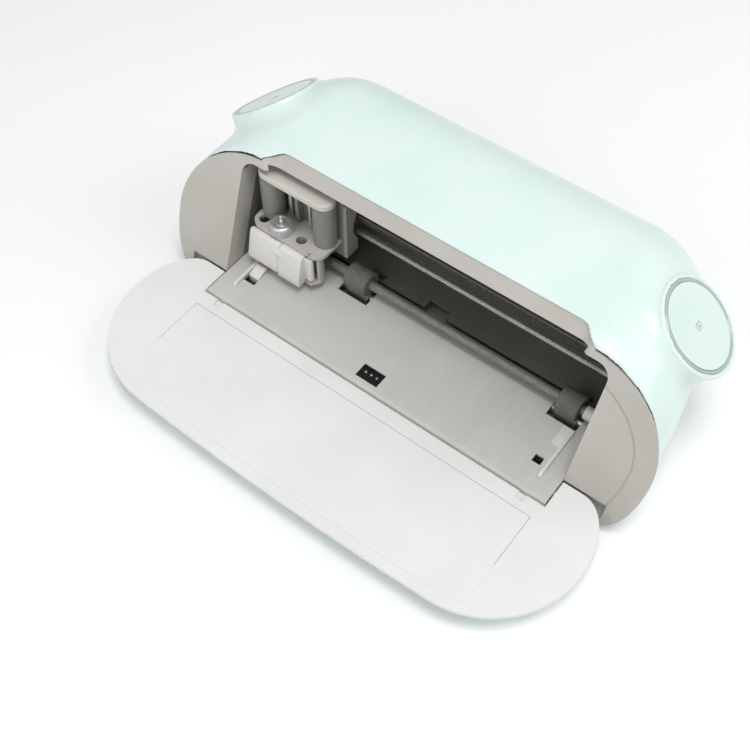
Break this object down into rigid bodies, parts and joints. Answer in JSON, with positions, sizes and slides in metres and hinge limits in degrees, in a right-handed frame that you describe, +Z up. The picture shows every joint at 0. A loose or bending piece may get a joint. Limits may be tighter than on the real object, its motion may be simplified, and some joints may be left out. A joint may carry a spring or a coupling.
{
  "type": "vinyl cutter",
  "caption": "Desktop vinyl cutter with a mint shell, drop-down front door, cutting bed, feed rollers, cross carriage with a clamped drag knife, and round shoulder buttons.",
  "frame": {"origin": "on the table plane, under the centre of the footprint with the front door open", "axes": "+Z up, +X to the machine's right seen from the front, +Y towards the rear; the door opens towards -Y"},
  "size_m": [0.503, 0.3535, 0.1665],
  "materials": {
    "mint_shell": "satin mint green moulded cover",
    "grey_bezel": "fine matte warm grey",
    "door_white": "satin near-white",
    "bed_grey": "matte light warm grey",
    "dark_grey": "matte dark grey",
    "carriage_grey": "matte mid grey",
    "lever_grey": "matte light grey",
    "black_plastic": "smooth black",
    "rubber_dark": "ground rubber",
    "rubber_foot": "matte black rubber",
    "rubber_belt": "toothed belt",
    "grit_steel": "gritted steel shaft",
    "steel": "ground steel",
    "bright_steel": "bright plated",
    "dark_sheet": "black painted sheet",
    "spring_steel": "spring steel",
    "motor_metal": "black motor case",
    "brass_bush": "sintered bush",
    "board_green": "printed circuit board",
    "ring_silver": "satin silver ring"
  },
  "bodies": {
    "housing": {"top_shell": "mint_shell", "front_bezel": "grey_bezel", "rear_slot_trim": "grey_bezel", "base_pan": "grey_bezel", "feet": "rubber_foot", "base_screws": "steel", "left_frame": "bed_grey", "right_frame": "dark_grey", "shaft_bushings": "brass_bush", "cutting_bed": "bed_grey", "rear_plate": "dark_grey", "shaft_springs": "spring_steel", "sensor_window": "black_plastic", "home_sensor": "black_plastic", "parking_block": "lever_grey", "mat_guide_left": "lever_grey", "mat_guide_right": "lever_grey", "feed_motor": "motor_metal", "feed_belt": "rubber_belt", "guide_rail": "bright_steel", "rail_beam": "dark_sheet", "cross_motor": "motor_metal", "idler_pin": "steel", "cross_belt": "rubber_belt", "hinge_pins": "steel", "button_switches": "black_plastic", "control_board": "board_green", "dc_jack": "black_plastic", "usb_port": "steel", "left_button_ring": "ring_silver", "right_button_ring": "ring_silver"},
    "door": {"door_panel": "mint_shell", "door_liner": "door_white", "door_inner_panel": "door_white"},
    "pinch_rollers": {"pinch_shaft": "grit_steel", "shaft_collar": "lever_grey", "pinch_roller_left": "rubber_dark", "pinch_roller_centre": "rubber_dark", "pinch_roller_right": "rubber_dark"},
    "feed_shaft": {"drive_shaft": "steel", "drive_rollers": "grit_steel", "feed_pulley": "black_plastic"},
    "feed_motor_spindle": {"feed_motor_pulley": "steel"},
    "cross_motor_spindle": {"motor_pulley": "steel"},
    "idler": {"idler_pulley": "black_plastic"},
    "carriage": {"carriage_frame": "carriage_grey", "carriage_cap": "carriage_grey", "carriage_bracket": "carriage_grey", "carriage_slider": "carriage_grey", "lift_rods": "steel", "lift_motor": "motor_metal"},
    "tool_holder": {"tool_head": "carriage_grey", "pivot_pin": "steel"},
    "lever": {"clamp_lever": "lever_grey"},
    "blade_holder": {"blade_housing": "steel", "blade_knob": "steel"},
    "ejector": {"ejector_pin": "bright_steel"},
    "blade_body": {"blade": "bright_steel"},
    "power_button": {"left_button": "mint_shell"},
    "load_button": {"right_button": "mint_shell"}
  },
  "joints": [
    {"name": "door_hinge", "type": "hinge", "parent": "housing", "child": "door", "pos_m": [0, -0.03185, 0.0199], "axis": [-1, 0, 0], "range_deg": [0, 110]},
    {"name": "carriage_slide", "type": "slide", "parent": "housing", "child": "carriage", "axis": [1, 0, 0], "range_m": [0, 0.29]},
    {"name": "tool_lift", "type": "slide", "parent": "carriage", "child": "tool_holder", "axis": [0, 0, -1], "range_m": [0, 0.005]},
    {"name": "clamp_lever_hinge", "type": "hinge", "parent": "tool_holder", "child": "lever", "pos_m": [-0.107, 0.01075, 0.056], "axis": [0, 0, -1], "range_deg": [-80, 0]},
    {"name": "blade_holder_lift", "type": "slide", "parent": "tool_holder", "child": "blade_holder", "axis": [0, 0, -1], "range_m": [-0.028, 0]},
    {"name": "ejector_press", "type": "slide", "parent": "blade_holder", "child": "ejector", "axis": [0, 0, -1], "range_m": [0, 0.002], "stiffness_N_per_m": 300, "springref_m": -0.0005},
    {"name": "blade_swivel", "type": "hinge", "parent": "blade_holder", "child": "blade_body", "pos_m": [-0.145, 0.01875, 0.04], "axis": [0, 0, 1], "continuous": true},
    {"name": "power_button_press", "type": "slide", "parent": "housing", "child": "power_button", "axis": [0.5897, -0.1699, -0.7896], "range_m": [0, 0.0015], "stiffness_N_per_m": 600, "springref_m": -0.001},
    {"name": "load_button_press", "type": "slide", "parent": "housing", "child": "load_button", "axis": [-0.5897, -0.1699, -0.7896], "range_m": [0, 0.0015], "stiffness_N_per_m": 600, "springref_m": -0.001},
    {"name": "feed_spin", "type": "hinge", "parent": "housing", "child": "feed_shaft", "pos_m": [0, 0.03975, 0.0206], "axis": [1, 0, 0], "continuous": true},
    {"name": "pinch_spin", "type": "hinge", "parent": "housing", "child": "pinch_rollers", "pos_m": [0, 0.03975, 0.0404], "axis": [1, 0, 0], "continuous": true},
    {"name": "feed_motor_spin", "type": "hinge", "parent": "housing", "child": "feed_motor_spindle", "pos_m": [0.205, 0.08375, 0.062], "axis": [1, 0, 0], "continuous": true},
    {"name": "cross_motor_spin", "type": "hinge", "parent": "housing", "child": "cross_motor_spindle", "pos_m": [-0.172, 0.06975, 0.088], "axis": [0, 0, 1], "range_deg": [-10, 2780]},
    {"name": "idler_spin", "type": "hinge", "parent": "housing", "child": "idler", "pos_m": [0.195, 0.06975, 0.088], "axis": [0, 0, 1], "range_deg": [-10, 2780]}
  ],
  "couplings": [
    {"joint": "pinch_spin", "follows": "feed_spin", "ratio": -0.625},
    {"joint": "feed_motor_spin", "follows": "feed_spin", "ratio": 1.1},
    {"joint": "cross_motor_spin", "follows": "carriage_slide", "rad_per_m": 166.67},
    {"joint": "idler_spin", "follows": "carriage_slide", "rad_per_m": 166.67}
  ]
}
